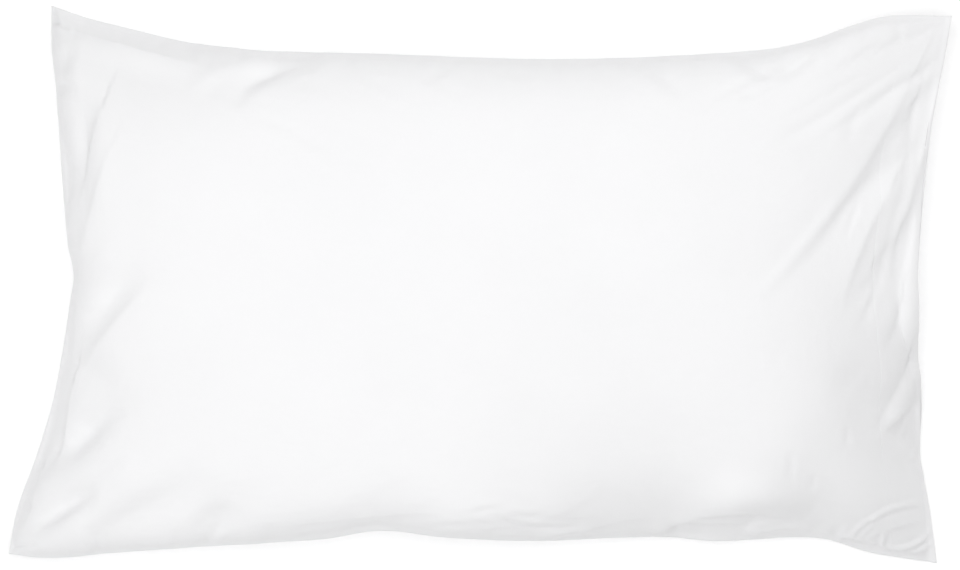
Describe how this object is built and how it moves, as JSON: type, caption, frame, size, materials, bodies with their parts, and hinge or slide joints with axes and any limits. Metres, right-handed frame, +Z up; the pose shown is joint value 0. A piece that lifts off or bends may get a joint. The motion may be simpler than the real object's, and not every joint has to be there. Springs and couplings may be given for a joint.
{
  "type": "pillowcase",
  "caption": "White cotton pillowcase filled by its pillow and lying on its back, with one open hemmed end, drawn-in sides, pointed corners and soft pull folds.",
  "frame": {"origin": "on the surface the case rests on, under the middle of its overall length and width", "axes": "+X along the case from its closed end to its open mouth, +Y across it, +Z up out of its front"},
  "size_m": [0.795, 0.4729, 0.1678],
  "materials": {
    "cotton": "matt white percale, washed and unironed"
  },
  "bodies": {
    "root": {"pillowcase": "cotton"}
  },
  "joints": []
}
